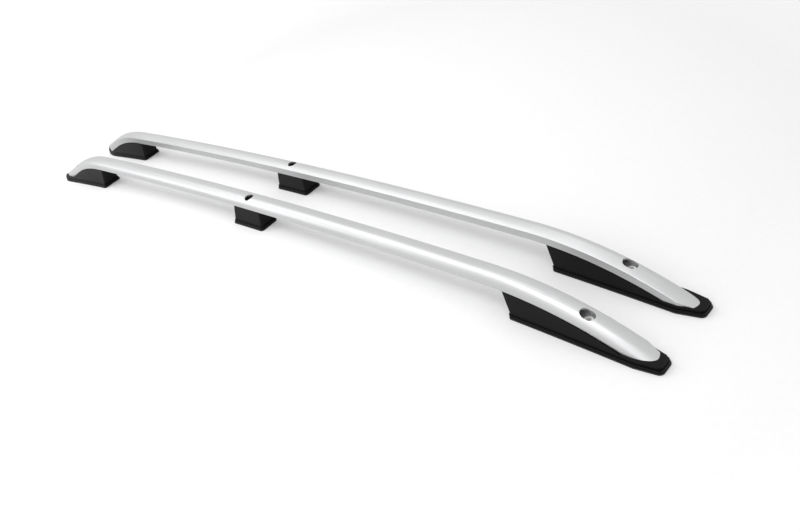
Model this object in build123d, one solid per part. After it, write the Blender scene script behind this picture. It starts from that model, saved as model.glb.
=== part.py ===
from build123d import *
import os
from collections import namedtuple
from math import atan, ceil, cos, degrees, radians, sin, sqrt, tan

# A pair of fixed roof side rails for a vehicle, left and right mirrored.
# Each rail is a hollow bar of drawn aluminium, bent down at both ends, on three moulded feet.
# +X is towards the front of the vehicle, +Y is its left side, +Z is up, in millimetres.
# Stations along a rail are measured from the rear tip, and the pair is centred on X and Y at the end.

# Overall layout
rail_length = 1692.0
bolt_line_spacing = 123.0
roof_rise = 42.5

# Bar section, measured from the sharp upper inner edge, which is the line that the bar follows
bar_width = 35.0
bar_face_height = 14.3
crown_setback = 18.0
crown_rise = 3.75
bar_wall = 2.6
inner_edge_radius = 1.2
lower_edge_radius = 1.0

# Bar line in side view
rear_edge_height = 5.6
rear_slope = 24.7
rear_straight_run = 100.0
rear_bend_radius = 346.0
rear_shoulder_slope = 2.8
front_shoulder_setback = 292.0
front_shoulder_slope = 2.3
front_bend_radius = 616.0
front_slope = 28.0

# Feet, with half widths on the outer and inner side of the bolt line
foot_wall = 3.0
foot_ceiling = 5.0
base_outer = 22.0
base_inner = 17.5
outer_inset = 1.6
inner_inset = 2.6
foot_corner_radius = 5.0
plinth_height = 5.0
plinth_step = 1.6
gasket_thickness = 2.0
gasket_lip = 0.8
rib_thickness = 2.4
rib_pitch = 36.0
rib_clearance = 14.0

# Centre foot
centre_bolt_station = 812.0
centre_foot_rear_run = 57.0
centre_foot_front_run = 33.0
centre_rear_rake = 18.0
centre_front_rake = 10.0
centre_screw_offset = 22.0

# Rear foot
rear_bolt_station = 88.0
rear_foot_length = 227.0
rear_foot_rake = 20.0
rear_base_outer = 24.5
rear_base_inner = 20.5
rear_tip_offset = 9.0
rear_tip_radius = 5.6
rear_tip_turn = 40.0
rear_inner_taper = 80.0
rear_outer_taper = 40.0
rear_rim_height = 8.0
rear_rib_start = 40.0
rear_screw_setbacks = (30.0, 72.0)

# Front foot and its nose
front_bolt_setback = 119.5
front_foot_length = 251.0
front_foot_rake = -12.0
front_base_inner = 20.5
nose_height = 10.0
nose_taper = 42.0
nose_tip_outer = 15.5
nose_tip_inner = 10.5
nose_side_radius = 20.0
nose_corner_radius = 9.0
front_screw_offsets = (30.0, 78.0)
front_rib_setback = 60.0

# Seat of the bar's ends in the feet
seat_floor = 3.0
seat_overlap = 2.6
seat_side_clearance = 0.5

# Roof bolts, their bushes and the access holes above them
bolt_bore = 8.5
bush_shank = 12.0
bush_head = 16.0
bush_head_height = 1.6
boss_diameter = 17.0
boss_rise = 0.6
boss_clearance = 0.4
access_hole = 18.0
front_slot_travel = 6.0

# Screws that hold each foot to the bar from below
screw_shank = 4.8
screw_clearance = 0.3
screw_head = 9.0
screw_head_height = 2.8
screw_reach = 4.0

# Sizes that follow from those above
top_outer = bar_width - crown_setback - outer_inset
top_inner = crown_setback - inner_inset
bar_floor = bar_face_height - bar_wall
base_lip = plinth_step + gasket_lip
roof_radius = (rail_length**2 / 4 + roof_rise**2) / (2 * roof_rise)
roof_middle = rail_length / 2
front_shoulder = rail_length - front_shoulder_setback
rear_bend_run = rear_bend_radius * (sin(radians(rear_slope)) - sin(radians(rear_shoulder_slope)))
rear_shoulder = rear_straight_run + rear_bend_run
shoulder_turn = sin(radians(rear_shoulder_slope)) + sin(radians(front_shoulder_slope))
crown_radius = (front_shoulder - rear_shoulder) / shoulder_turn

# Reach of the blocks that other shapes are cut with
half_block = 60.0
overrun = 50.0
reach = 400.0
form_margin = 4.0
longest_arc = 131.0


def slab(*edges):
    """A closed side view outline thickened to both sides of the bolt line."""
    return extrude(Plane.XZ * make_face(Wire(edges)), amount=half_block, both=True)


def roof_height(station):
    """Height of the roof curve, on which the feet stand, above the floor."""
    return sqrt(roof_radius**2 - (station - roof_middle) ** 2) - (roof_radius - roof_rise)


def above_roof(lift):
    """Everything higher than the roof curve raised by a lift."""
    left = (-overrun, roof_height(-overrun) + lift)
    right = (rail_length + overrun, roof_height(rail_length + overrun) + lift)
    crest = (roof_middle, roof_rise + lift)
    corners = Polyline(right, (right[0], reach), (left[0], reach), left)
    return slab(ThreePointArc(left, crest, right), *corners.edges())


def bar_line(depth):
    """The bar line lowered by a depth square to itself, as connected edges in side view."""
    a0, a1, a2, a3 = rear_slope, rear_shoulder_slope, -front_shoulder_slope, -front_slope
    start = Vector(-overrun, rear_edge_height - overrun * tan(radians(a0)))
    start += Vector(sin(radians(a0)), -cos(radians(a0))) * depth
    run = (rear_straight_run + overrun) / cos(radians(a0))
    heading = Vector(cos(radians(a0)), sin(radians(a0)))
    edges = [Line(start, start + heading * run)]
    bends = ((rear_bend_radius, a0, a1), (crown_radius, a1, a2), (front_bend_radius, a2, a3))
    for radius, a, b in bends:
        count = ceil(radius * radians(a - b) / longest_arc)
        for _ in range(count):
            heading = edges[-1] % 1
            edges.append(JernArc(edges[-1] @ 1, heading, radius - depth, (b - a) / count))
    end = edges[-1] @ 1
    last = (rail_length + overrun - end.X) / cos(radians(a3))
    edges.append(Line(end, end + Vector(cos(radians(a3)), sin(radians(a3))) * last))
    return edges


def under_bar(depth):
    """Everything lower than the bar line lowered by a depth."""
    edges = bar_line(depth)
    first, last = edges[0] @ 0, edges[-1] @ 1
    low = -reach / 4
    corners = Polyline(last, (last.X, low), (first.X, low), first)
    return slab(*edges, *corners.edges())


def line_height(station, depth):
    """Height of the lowered bar line at a station, with the slope there in degrees."""
    for edge in bar_line(depth):
        ends = (edge @ 0, edge @ 1)
        if ends[0].X <= station <= ends[1].X:
            low, high = 0.0, 1.0
            for _ in range(40):
                mid = (low + high) / 2
                if (edge @ mid).X < station:
                    low = mid
                else:
                    high = mid
            along = edge % low
            return (edge @ low).Y, degrees(atan(along.Y / along.X))
    raise ValueError("station off the bar")


# Bar
def bar_section():
    """Outline of the bar: flat inner face and underside, crowned top, round outer side."""
    outer_radius = bar_width - crown_setback
    inner = crown_setback
    outer = inner - bar_width
    top = crown_rise
    bottom = -bar_face_height
    outline = [
        JernArc((0, top), (-1, 0), outer_radius, 90),
        Polyline((outer, top - outer_radius), (outer, bottom), (inner, bottom), (inner, 0)),
        TangentArc((0, top), (inner, 0), tangent=(1, 0)),
    ]
    face = make_face(outline)
    corners = face.vertices()
    face = fillet(corners.filter_by(lambda v: abs(v.Y - bottom) < 0.01), lower_edge_radius)
    crease = face.vertices().filter_by(lambda v: abs(v.X - inner) < 0.01 and abs(v.Y) < 0.01)
    return fillet(crease, inner_edge_radius)


def sweep_bar(section, edges):
    """Draws a section along edges of the bar line."""
    path = Plane.XZ * Wire(edges)
    start = path @ 0
    along = path % 0
    return sweep(Plane(origin=start, x_dir=(0, 1, 0), z_dir=along) * section, path)


# Plan outlines
def rear_plan(inner, outer, grow, front):
    """Plan of the rear end, drawn to a small round tip beside the outer edge."""
    inner, outer, tip = inner + grow, -outer - grow, rear_tip_radius + grow
    middle = Vector(rear_tip_radius + base_lip, -rear_tip_offset)
    across, along = sin(radians(rear_tip_turn)), cos(radians(rear_tip_turn))
    side = middle + Vector(-across, -along) * tip
    back = middle + Vector(-tip, 0)
    turn = middle + Vector(-across, along) * tip
    outline = [
        Spline((rear_outer_taper, outer), side, tangents=((-1, 0), (-along, across))),
        ThreePointArc(side, back, turn),
        Spline(turn, (rear_inner_taper, inner), tangents=((along, across), (1, 0))),
        Polyline((rear_inner_taper, inner), (front, inner), (front, outer), (rear_outer_taper, outer)),
    ]
    return make_face(outline)


def nose_plan(inner, outer, grow, rear):
    """Plan of the front end, blunt with rounded corners."""
    inner, outer = inner + grow, -outer - grow
    left, right = nose_tip_inner + grow, -nose_tip_outer - grow
    tip = rail_length - base_lip + grow
    taper = rail_length - nose_taper
    points = [(rear, outer), (taper, outer), (tip, right), (tip, left), (taper, inner), (rear, inner)]
    face = make_face(Polyline(*points, close=True))
    corners = face.vertices()
    face = fillet(corners.filter_by(lambda v: abs(v.X - tip) < 0.01), nose_corner_radius)
    return fillet(face.vertices().filter_by(lambda v: abs(v.X - taper) < 0.01), nose_side_radius)


def foot_plan(rear, front, inner, outer, grow):
    """Rounded rectangle between two stations."""
    size = (front - rear + 2 * grow, inner + outer + 2 * grow)
    middle = Pos((rear + front) / 2, (inner - outer) / 2)
    radius = foot_corner_radius + max(grow, -foot_corner_radius / 2)
    return middle * RectangleRounded(size[0], size[1], radius)


def flared(low_plan, high_plan, low, high):
    """Solid between a plan at one height and another above it."""
    return loft([Pos(0, 0, low) * low_plan, Pos(0, 0, high) * high_plan])


# Outer form of each foot before it is cut to the roof and to the bar
def centre_form(grow):
    """Skirt of the centre foot, leaning forwards."""
    low = roof_height(centre_bolt_station) - form_margin
    high = line_height(centre_bolt_station, 0)[0] - form_margin
    rise = high - low
    rear, front = centre_bolt_station - centre_foot_rear_run, centre_bolt_station + centre_foot_front_run
    low_plan = foot_plan(rear, front, base_inner, base_outer, grow)
    rear += rise * tan(radians(centre_rear_rake))
    front += rise * tan(radians(centre_front_rake))
    high_plan = foot_plan(rear, front, top_inner, top_outer, grow)
    return flared(low_plan, high_plan, low, high)


def rear_form(grow):
    """Skirt of the rear foot, with the tip at the back and a raked front face."""
    high = line_height(rear_foot_length, 0)[0]
    front = rear_foot_length - roof_height(rear_foot_length) * tan(radians(rear_foot_rake)) + grow
    low_plan = rear_plan(rear_base_inner, rear_base_outer, grow, front)
    low_plan = fillet(low_plan.vertices().filter_by(lambda v: abs(v.X - front) < 0.01), foot_corner_radius)
    lean = front + high * tan(radians(rear_foot_rake))
    high_plan = rear_plan(top_inner, top_outer, grow, lean)
    high_plan = fillet(high_plan.vertices().filter_by(lambda v: abs(v.X - lean) < 0.01), foot_corner_radius)
    return flared(low_plan, high_plan, 0.0, high)


def front_form(grow):
    """Skirt of the front foot, with the nose at its front."""
    rear = rail_length - front_foot_length
    high = line_height(rear, 0)[0]
    rear -= roof_height(rear) * tan(radians(front_foot_rake)) + grow
    low_plan = nose_plan(front_base_inner, base_outer, grow, rear)
    low_plan = fillet(low_plan.vertices().filter_by(lambda v: abs(v.X - rear) < 0.01), foot_corner_radius)
    lean = rear + high * tan(radians(front_foot_rake))
    high_plan = nose_plan(top_inner, top_outer, grow, lean)
    high_plan = fillet(high_plan.vertices().filter_by(lambda v: abs(v.X - lean) < 0.01), foot_corner_radius)
    return flared(low_plan, high_plan, 0.0, high)


# Blocks that several pieces are cut with
outer_section = bar_section()
inner_section = offset(outer_section, -bar_wall, kind=Kind.INTERSECTION)
over_gasket = above_roof(gasket_thickness)
over_plinth = above_roof(gasket_thickness + plinth_height)
under_skin = under_bar(bar_face_height)
under_ceiling = under_bar(bar_face_height + foot_ceiling)

# Each foot's outer form, roof bolt, screws, ribbed stretch, and what is cut off above its tray
Foot = namedtuple("Foot", "form bolt screws rib_start rib_end above_tray")
centre_rear = centre_bolt_station - centre_foot_rear_run
centre_front = centre_bolt_station + centre_foot_front_run
front_rear = rail_length - front_foot_length
feet = {
    "rear": Foot(
        form=rear_form,
        bolt=rear_bolt_station,
        screws=[rear_foot_length - setback for setback in rear_screw_setbacks],
        rib_start=rear_rib_start,
        rib_end=rear_foot_length,
        above_tray=above_roof(gasket_thickness + rear_rim_height),
    ),
    "centre": Foot(
        form=centre_form,
        bolt=centre_bolt_station,
        screws=[centre_bolt_station - centre_screw_offset, centre_bolt_station + centre_screw_offset],
        rib_start=centre_rear,
        rib_end=centre_front,
        above_tray=None,
    ),
    "front": Foot(
        form=front_form,
        bolt=rail_length - front_bolt_setback,
        screws=[front_rear + setback for setback in front_screw_offsets],
        rib_start=front_rear,
        rib_end=rail_length - front_rib_setback,
        above_tray=above_roof(gasket_thickness + nose_height),
    ),
}
all_screws = feet["rear"].screws + feet["centre"].screws + feet["front"].screws


def post(diameter, low, high):
    """Round block along Z between two heights."""
    return Pos(0, 0, low) * Cylinder(diameter / 2, high - low, align=(Align.CENTER, Align.CENTER, Align.MIN))


def upright(station, diameter, low, high):
    """Round block along Z at a station on the bolt line."""
    return Pos(station, 0, 0) * post(diameter, low, high)


def boss_top(station):
    """Height of a roof bolt's flat seat, just above the floor inside the bar."""
    half = boss_diameter / 2
    floors = [line_height(station + side * half, bar_floor)[0] for side in (-1, 1)]
    return max(floors) + boss_rise


def screw_frame(station):
    """Place where a foot screw's axis meets the bar's underside, with Z into the bar."""
    height, slope = line_height(station, bar_face_height)
    return Pos(station, 0, height) * Rot(0, -slope, 0)


# Bar
def bar_ends():
    """Block that draws both ends of the bar in to fit the trays of the feet."""
    inner = crown_setback + seat_overlap + seat_side_clearance
    outer = bar_width - crown_setback + seat_overlap + seat_side_clearance
    plan = rear_plan(inner, outer, -seat_overlap, roof_middle)
    plan += nose_plan(inner, outer, -seat_overlap, roof_middle)
    return extrude(plan, amount=reach) & above_roof(gasket_thickness + seat_floor)


def bar_runs():
    """The bar line's edges, parted beside each foot and halfway between feet."""
    rear, front = rear_foot_length, front_shoulder
    stations = [rear, (rear + centre_rear) / 2, centre_rear, centre_front]
    stations += [(centre_front + front) / 2, front, front_rear + front_screw_offsets[0]]
    edges = bar_line(0.0)
    starts = [(edge @ 0).X for edge in edges]
    cuts = [min(range(len(edges)), key=lambda i: abs(starts[i] - station)) for station in stations]
    return [edges[i:j] for i, j in zip([0] + cuts, cuts + [len(edges)])]


def make_bar(ends):
    """Hollow bar in runs that meet end to end, with access holes on top and boss holes below."""
    runs = []
    for edges in bar_runs():
        run = (sweep_bar(outer_section, edges) & ends) - sweep_bar(inner_section, edges)
        low, high = (edges[0] @ 0).X, (edges[-1] @ 1).X
        for name, foot in feet.items():
            if low < foot.bolt < high:
                run -= bolt_holes(name, foot)
        for station in all_screws:
            if low < station < high:
                run -= screw_frame(station) * post(screw_shank, -bar_wall, 2 * bar_wall)
        runs += run.solids()
    return Compound(runs)


def bolt_holes(name, foot):
    """What a roof bolt takes out of the bar: a hole for the boss and an access hole above."""
    top = boss_top(foot.bolt)
    access = Circle(access_hole / 2)
    if name == "front":
        access = SlotOverall(access_hole + front_slot_travel, access_hole)
    hole = upright(foot.bolt, boss_diameter + 2 * boss_clearance, 0, top)
    return hole + Pos(foot.bolt, 0, top) * extrude(access, amount=reach)


# Feet
def ribs(foot):
    """Cross ribs through a foot's cavity, clear of its screws and its boss."""
    length = foot.rib_end - foot.rib_start
    count = round(length / rib_pitch)
    made = []
    for i in range(1, count):
        station = foot.rib_start + length * i / count
        if all(abs(station - taken) > rib_clearance for taken in foot.screws + [foot.bolt]):
            made.append(Pos(station, 0, reach / 2) * Box(rib_thickness, 2 * half_block, reach))
    return made


def make_foot(foot, block):
    """Moulded foot with a plinth, a seat for the bar, a ribbed cavity, a boss and bores."""
    skirt = foot.form(0.0) + (foot.form(plinth_step) - over_plinth)
    body = skirt & over_gasket & under_skin
    if foot.above_tray is not None:
        body += (skirt & over_gasket) - foot.above_tray
        body -= block
    top = boss_top(foot.bolt)
    boss = upright(foot.bolt, boss_diameter, 0, top)
    cavity = foot.form(-foot_wall) & under_ceiling
    for piece in [boss] + ribs(foot):
        cavity -= piece
    body -= cavity
    body += boss & over_gasket
    body -= upright(foot.bolt, bush_shank, 0, reach)
    for station in foot.screws:
        shank = post(screw_shank + 2 * screw_clearance, -2 * foot_ceiling, foot_ceiling)
        head = post(screw_head + 2 * screw_clearance, -foot_ceiling - screw_head_height, -foot_ceiling)
        body -= screw_frame(station) * shank
        body -= screw_frame(station) * head
    return body


# Gaskets
def make_gasket(foot):
    """Soft seal under a foot, following the roof curve, with a hole for the bush."""
    sheet = (foot.form(base_lip) & above_roof(0.0)) - over_gasket
    return sheet - upright(foot.bolt, bush_shank, 0, reach)


# Bushes
def make_bush(foot):
    """Flanged metal bush from the foot's base up to the bolt's seat inside the bar."""
    top = boss_top(foot.bolt)
    low = roof_height(foot.bolt) + gasket_thickness
    head = post(bush_head, top, top + bush_head_height)
    head = chamfer(head.edges().sort_by(Axis.Z)[-1], bush_head_height / 4)
    body = post(bush_shank, low, top) + head - post(bolt_bore, 0, reach)
    return Pos(foot.bolt, 0, 0) * body


# Screws
def make_screw(station):
    """Pan head screw with a round socket, from the foot's ceiling into the bar."""
    end = foot_ceiling + bar_wall + screw_reach
    head = post(screw_head, -screw_head_height, 0)
    head = fillet(head.edges().sort_by(Axis.Z)[0], screw_head_height / 3)
    shank = post(screw_shank, 0, end)
    shank = chamfer(shank.edges().sort_by(Axis.Z)[-1], screw_shank / 6)
    socket = post(2 * screw_shank / 3, -screw_head_height, -screw_head_height / 2)
    return screw_frame(station) * Pos(0, 0, -foot_ceiling) * (head + shank - socket)


# The right rail's pieces, then both rails, centred on the floor
ends = bar_ends()
block = sweep_bar(outer_section, bar_line(0.0)) & ends
pieces = {"bar": make_bar(ends)}
for name, foot in feet.items():
    pieces[name + "_foot"] = make_foot(foot, block)
    pieces[name + "_gasket"] = make_gasket(foot)
    pieces[name + "_bush"] = make_bush(foot)
pieces["foot_screws"] = Compound([make_screw(station) for station in all_screws])

os.makedirs("parts", exist_ok=True)
for name, piece in pieces.items():
    right = Pos(-rail_length / 2, -bolt_line_spacing / 2, 0) * piece
    export_step(right, f"parts/right_{name}.step")
    export_step(mirror(right, Plane.XZ), f"parts/left_{name}.step")
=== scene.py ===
# %% [markdown]
# # A pair of vehicle roof side rails
# Each rail is a hollow aluminium bar, bent down at both ends and standing on three
# moulded feet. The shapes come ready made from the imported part. This script gives
# them their finishes, a pale floor, soft studio light and a camera.

import math

import bmesh
import bpy
from mathutils import Matrix, Vector

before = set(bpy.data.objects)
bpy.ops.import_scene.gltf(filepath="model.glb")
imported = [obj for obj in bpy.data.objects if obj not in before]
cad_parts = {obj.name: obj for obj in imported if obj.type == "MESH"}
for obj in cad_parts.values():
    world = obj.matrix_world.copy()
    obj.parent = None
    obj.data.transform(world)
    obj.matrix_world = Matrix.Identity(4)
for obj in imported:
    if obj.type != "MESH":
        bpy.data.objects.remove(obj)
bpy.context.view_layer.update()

# %% [markdown]
# ## Shader maths
# A finish is a small drawing made of nodes. Wiring them one by one hides the idea, so
# a socket is wrapped in a class whose operators add the Math nodes, and one method
# adds any other node with its settings first and its inputs after.


# %% Wrap a socket
class Finish:
    """One material, with its shader and a place to add nodes."""

    def __init__(self, name):
        self.material = bpy.data.materials.new(name)
        self.material.use_nodes = True
        self.tree = self.material.node_tree
        self.shader = self.tree.nodes["Principled BSDF"]

    def node(self, kind, result, settings=(), **inputs):
        """Adds a node, makes its settings, feeds its inputs and returns one output."""
        made = self.tree.nodes.new("ShaderNode" + kind)
        for name, value in dict(settings).items():
            setattr(made, name, value)
        for name, value in inputs.items():
            self.feed(made.inputs[name.replace("_", " ")], value)
        return Value(self, made.outputs[result])

    def feed(self, socket, value):
        """Links a value to a socket, or sets a plain number or colour on it."""
        if isinstance(value, Value):
            self.tree.links.new(value.socket, socket)
        else:
            socket.default_value = value

    def set(self, **inputs):
        """Sets or links the shader's own sockets."""
        for name, value in inputs.items():
            self.feed(self.shader.inputs[name.replace("_", " ")], value)


class Value:
    """A number that changes over a surface, and can be added and scaled."""

    def __init__(self, finish, socket):
        self.finish = finish
        self.socket = socket

    def maths(self, operation, first, second):
        """Adds one Math node on two values or numbers."""
        made = self.finish.tree.nodes.new("ShaderNodeMath")
        made.operation = operation
        self.finish.feed(made.inputs[0], first)
        self.finish.feed(made.inputs[1], second)
        return Value(self.finish, made.outputs[0])

    def __add__(self, other):
        return self.maths("ADD", self, other)

    def __radd__(self, other):
        return self.maths("ADD", other, self)

    def __mul__(self, other):
        return self.maths("MULTIPLY", self, other)

    def __rmul__(self, other):
        return self.maths("MULTIPLY", other, self)


print("shader maths ready")

# %% [markdown]
# ## Patterns on object coordinates
# Every piece has its place in its mesh, so object coordinates are metres from the
# middle of the pair. A noise read from them stays fixed to the surface. Stretching
# the coordinates along one axis turns round grains into drawn lines.


# %% Noise and colour helpers
def grain(finish, size, stretch=(1.0, 1.0, 1.0), detail=2.0):
    """Noise from 0 to 1 whose grains are size metres across, longer along an axis."""
    place = finish.node("TexCoord", "Object")
    scale = tuple(1.0 / (size * factor) for factor in stretch)
    turned = finish.node("Mapping", "Vector", Vector=place, Scale=scale)
    return finish.node("TexNoise", "Fac", Vector=turned, Scale=1.0, Detail=detail)


def blend(finish, factor, dark, light):
    """Colour between two colours."""
    ramp = finish.tree.nodes.new("ShaderNodeValToRGB")
    ramp.color_ramp.elements[0].color = (*dark, 1.0)
    ramp.color_ramp.elements[1].color = (*light, 1.0)
    finish.feed(ramp.inputs["Fac"], factor)
    return Value(finish, ramp.outputs["Color"])


def relief(finish, height, depth):
    """Surface normal of a height pattern that is depth metres deep."""
    return finish.node("Bump", "Normal", Height=height, Strength=1.0, Distance=depth)


print("pattern helpers ready")

# %% [markdown]
# ## Satin anodised aluminium
# The bars are drawn through a die, brushed and anodised. Light spreads along them in
# long soft bands, and from close up very fine lines run along the drawing direction.
# A metallic shader with middling roughness gives the bands, and a noise stretched
# far along X gives the lines, so no picture is needed.


# %% Bar finish
def satin_aluminium():
    """Silver bar with fine drawn lines and a slightly uneven satin."""
    finish = Finish("satin_aluminium")
    lines = grain(finish, 0.0006, stretch=(160.0, 1.0, 1.0))
    cloud = grain(finish, 0.06, stretch=(3.0, 1.0, 1.0))
    dark, light = (0.5, 0.503, 0.507), (0.6, 0.603, 0.607)
    finish.set(
        Base_Color=blend(finish, 0.7 * cloud + 0.3 * lines, dark, light),
        Metallic=0.92,
        Roughness=0.39 + 0.06 * cloud + 0.05 * lines,
        Normal=relief(finish, lines, 0.00001),
    )
    return finish.material


bar_finish = satin_aluminium()
print("made", bar_finish.name)

# %% [markdown]
# ## Moulded black plastic
# The feet are moulded in filled black plastic with an eroded texture: tiny pits that
# break up the shine and leave a soft grey sheen on the sides. Two grain sizes in the
# bump and a slow change of roughness keep the large panels from looking painted.


# %% Foot finish
def moulded_black():
    """Satin black plastic with a fine moulded grain."""
    finish = Finish("moulded_black")
    pits = grain(finish, 0.0009, detail=3.0)
    coarse = grain(finish, 0.0035)
    cloud = grain(finish, 0.05)
    dark, light = (0.001, 0.001, 0.0011), (0.004, 0.004, 0.0043)
    finish.set(
        Base_Color=blend(finish, 0.6 * cloud + 0.4 * pits, dark, light),
        Roughness=0.38 + 0.12 * cloud + 0.08 * pits,
        Normal=relief(finish, 0.7 * pits + 0.3 * coarse, 0.00006),
    )
    finish.shader.inputs["Specular IOR Level"].default_value = 0.12
    return finish.material


foot_finish = moulded_black()
print("made", foot_finish.name)

# %% [markdown]
# ## Soft seal rubber
# A thin seal under each foot keeps the roof paint safe. It is softer and duller than
# the foot above it, with a dusty bloom, so its roughness is high and its colour
# drifts between black and a dark grey.


# %% Gasket finish
def seal_rubber():
    """Dull black rubber with a faint bloom."""
    finish = Finish("seal_rubber")
    bloom = grain(finish, 0.012, detail=4.0)
    skin = grain(finish, 0.0007)
    finish.set(
        Base_Color=blend(finish, bloom, (0.008, 0.008, 0.008), (0.022, 0.022, 0.022)),
        Roughness=0.68 + 0.16 * bloom,
        Normal=relief(finish, skin, 0.00004),
    )
    return finish.material


gasket_finish = seal_rubber()
print("made", gasket_finish.name)

# %% [markdown]
# ## Zinc plated steel
# Bushes and screws are turned or rolled, then plated. The plating is bright with a
# cool tint that shifts a little from place to place. The same recipe serves both
# parts. The bush is lighter and less metallic, because the access hole above it
# looks nearly white in the picture.


# %% Bush and screw finishes
def zinc_plated(name, dark, light, metal, roughness):
    """Bright plated steel with a slightly clouded tint."""
    finish = Finish(name)
    tint = grain(finish, 0.004, detail=3.0)
    marks = grain(finish, 0.0004, stretch=(1.0, 8.0, 1.0))
    finish.set(
        Base_Color=blend(finish, tint, dark, light),
        Metallic=metal,
        Roughness=roughness + 0.1 * tint + 0.06 * marks,
        Normal=relief(finish, marks, 0.00001),
    )
    return finish.material


bush_finish = zinc_plated("zinc_bush", (0.86, 0.86, 0.85), (0.95, 0.95, 0.94), 0.4, 0.4)
screw_finish = zinc_plated("zinc_screw", (0.55, 0.56, 0.57), (0.72, 0.73, 0.74), 1.0, 0.28)
print("made", bush_finish.name, screw_finish.name)

# %% [markdown]
# ## Dress the part
# The part's meshes stay as they are. Only the material in each one's slots changes,
# chosen by the last word of the node's name.

# %% Assign the finishes
finishes = {
    "bar": bar_finish,
    "foot": foot_finish,
    "gasket": gasket_finish,
    "bush": bush_finish,
    "screws": screw_finish,
}
for name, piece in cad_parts.items():
    finish = finishes[name.split("_")[-1]]
    if not piece.data.materials:
        piece.data.materials.append(finish)
    for index in range(len(piece.data.materials)):
        piece.data.materials[index] = finish
print("dressed", len(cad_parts), "nodes")

# %% [markdown]
# ## Floor
# The feet are cut to a gently arched roof, so the middle ones stand a little higher
# than the end ones. The white sheet below has the same slow arch, which brings the
# soft shadows right up to every foot. It is a grid raised by one formula. Seen by the
# camera or in a reflection it glows faintly. Away from the pair the camera sees it
# glow more, so that the page fades to white where the lamps no longer reach.

# %% Make the floor
arch_rise = 0.0425
arch_half_length = 0.846
floor_half_side = 6.0
floor_gap = 0.0005
steps_along = 240
steps_across = 4
fade_start = 1.0
fade_end = 2.6
near_glow = 0.06
glow_strength = 0.5


def floor_finish():
    """White paper with a faint grain that fades into the background."""
    finish = Finish("white_sweep")
    fibres = grain(finish, 0.01)
    seen = finish.node("LightPath", "Is Camera Ray")
    mirrored = finish.node("LightPath", "Is Glossy Ray")
    place = finish.node("TexCoord", "Object")
    away = finish.node("VectorMath", "Value", {"operation": "LENGTH"}, Vector=place)
    far = finish.node("MapRange", "Result", Value=away, From_Min=fade_start, From_Max=fade_end)
    finish.set(
        Base_Color=blend(finish, fibres, (0.9, 0.9, 0.9), (0.94, 0.94, 0.94)),
        Roughness=0.9,
        Emission_Color=near_glow * (seen + mirrored) + seen * far,
        Emission_Strength=glow_strength,
    )
    finish.shader.inputs["Specular IOR Level"].default_value = 0.1
    return finish.material


def arch_height(along):
    """Height of the roof arch at a place along the rails, flat beyond their ends."""
    inside = min(abs(along) / arch_half_length, 1.0)
    return arch_rise * (1.0 - inside * inside)


def make_floor():
    """Wide sheet under the pair, arched as a roof is."""
    shape = bmesh.new()
    bmesh.ops.create_grid(
        shape, x_segments=steps_along, y_segments=steps_across, size=floor_half_side
    )
    for corner in shape.verts:
        corner.co.z = arch_height(corner.co.x) - floor_gap
    for face in shape.faces:
        face.smooth = True
    mesh = bpy.data.meshes.new("floor")
    shape.to_mesh(mesh)
    shape.free()
    sheet = bpy.data.objects.new("floor", mesh)
    bpy.context.scene.collection.objects.link(sheet)
    mesh.materials.append(floor_finish())
    return sheet


floor = make_floor()
print("floor", tuple(floor.dimensions))

# %% [markdown]
# ## Light
# A satin metal bar shows what surrounds it, so where the lamps hang sets its bright
# and dark bands. Their powers were fitted so that the bars, the feet and the floor
# come out about as bright as in the picture. Each one is given by its direction from
# the middle of the pair, and all hang equally far away. The world fills in the rest
# at a plain level.


# %% Place the softboxes
lamp_side = 0.9
lamp_distance = 2.4
lamp_target = Vector((0.1, 0.0, 0.05))


def softbox(name, azimuth, elevation, power):
    """Square area lamp in a direction from the pair, in degrees, aimed at the pair."""
    lamp = bpy.data.lights.new(name, "AREA")
    lamp.shape = "SQUARE"
    lamp.size = lamp_side
    lamp.energy = power
    holder = bpy.data.objects.new(name, lamp)
    bpy.context.scene.collection.objects.link(holder)
    turn, rise = math.radians(azimuth), math.radians(elevation)
    level = math.cos(rise)
    away = Vector((math.cos(turn) * level, math.sin(turn) * level, math.sin(rise)))
    holder.location = lamp_target + away * lamp_distance
    holder.rotation_euler = (-away).to_track_quat("-Z", "Y").to_euler()


softbox("front_high_softbox", -60, 65, 16.0)
softbox("front_low_softbox", -60, 25, 5.0)
softbox("rear_low_softbox", -150, 25, 7.0)
softbox("rear_high_softbox", -150, 65, 4.0)
softbox("behind_high_softbox", 180, 65, 6.0)
softbox("behind_middle_softbox", 180, 45, 4.0)
softbox("left_softbox", 90, 65, 3.0)

# %% [markdown]
# ## Surroundings
# The world is white where the camera, a reflection or a see-through surface looks at
# it, and a softer grey where it only lights the pieces. Light Path tells the rays
# apart.


# %% Make the world
seen_level = 1.0
fill_level = 0.58


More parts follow.
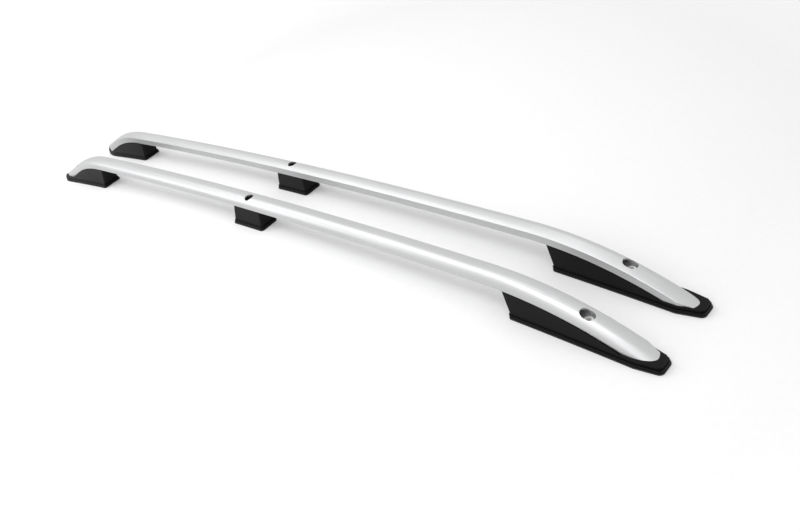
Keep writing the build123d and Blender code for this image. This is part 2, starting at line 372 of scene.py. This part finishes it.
def make_world():
    """White background with a softer fill light."""
    world = bpy.data.worlds.new("studio")
    world.use_nodes = True
    tree = world.node_tree
    tree.nodes.clear()
    path = tree.nodes.new("ShaderNodeLightPath")
    seen = path.outputs["Is Camera Ray"]
    for ray in ("Is Glossy Ray", "Is Transmission Ray"):
        either = tree.nodes.new("ShaderNodeMath")
        either.operation = "MAXIMUM"
        tree.links.new(seen, either.inputs[0])
        tree.links.new(path.outputs[ray], either.inputs[1])
        seen = either.outputs[0]
    mix = tree.nodes.new("ShaderNodeMixShader")
    tree.links.new(seen, mix.inputs["Fac"])
    for socket, strength in ((1, fill_level), (2, seen_level)):
        light = tree.nodes.new("ShaderNodeBackground")
        light.inputs["Color"].default_value = (1.0, 1.0, 1.0, 1.0)
        light.inputs["Strength"].default_value = strength
        tree.links.new(light.outputs[0], mix.inputs[socket])
    end = tree.nodes.new("ShaderNodeOutputWorld")
    tree.links.new(mix.outputs[0], end.inputs["Surface"])
    return world


bpy.context.scene.world = make_world()
bpy.context.scene.view_settings.view_transform = "Standard"
print("world ready")

# %% [markdown]
# ## Camera
# The picture was taken from above the front right of the pair, with the camera
# rolled so that the rails run down the page from upper left to lower right. Heading,
# tilt and roll are written as angles, and the camera's axes follow from them.

# %% Place the camera
camera_place = (1.3345, -0.8260, 0.9107)
camera_heading = math.radians(142.17)
camera_tilt = math.radians(34.97)
camera_roll = math.radians(19.24)
camera_lens = 39.78
camera_sensor = 36.0
camera_reach = 50.0


def camera_axes(heading, tilt, roll):
    """The camera's right, up and backward directions."""
    reach = math.cos(tilt)
    ahead = Vector((math.cos(heading) * reach, math.sin(heading) * reach, -math.sin(tilt)))
    level = Vector((math.sin(heading), -math.cos(heading), 0.0))
    lift = level.cross(ahead)
    right = level * math.cos(roll) - lift * math.sin(roll)
    up = level * math.sin(roll) + lift * math.cos(roll)
    return right, up, -ahead


camera = bpy.data.objects.new("camera", bpy.data.cameras.new("camera"))
camera.data.lens = camera_lens
camera.data.sensor_width = camera_sensor
camera.data.clip_end = camera_reach
bpy.context.scene.collection.objects.link(camera)
turn = Matrix(camera_axes(camera_heading, camera_tilt, camera_roll)).transposed()
camera.matrix_world = Matrix.Translation(camera_place) @ turn.to_4x4()
bpy.context.scene.camera = camera
print("camera at", camera_place)
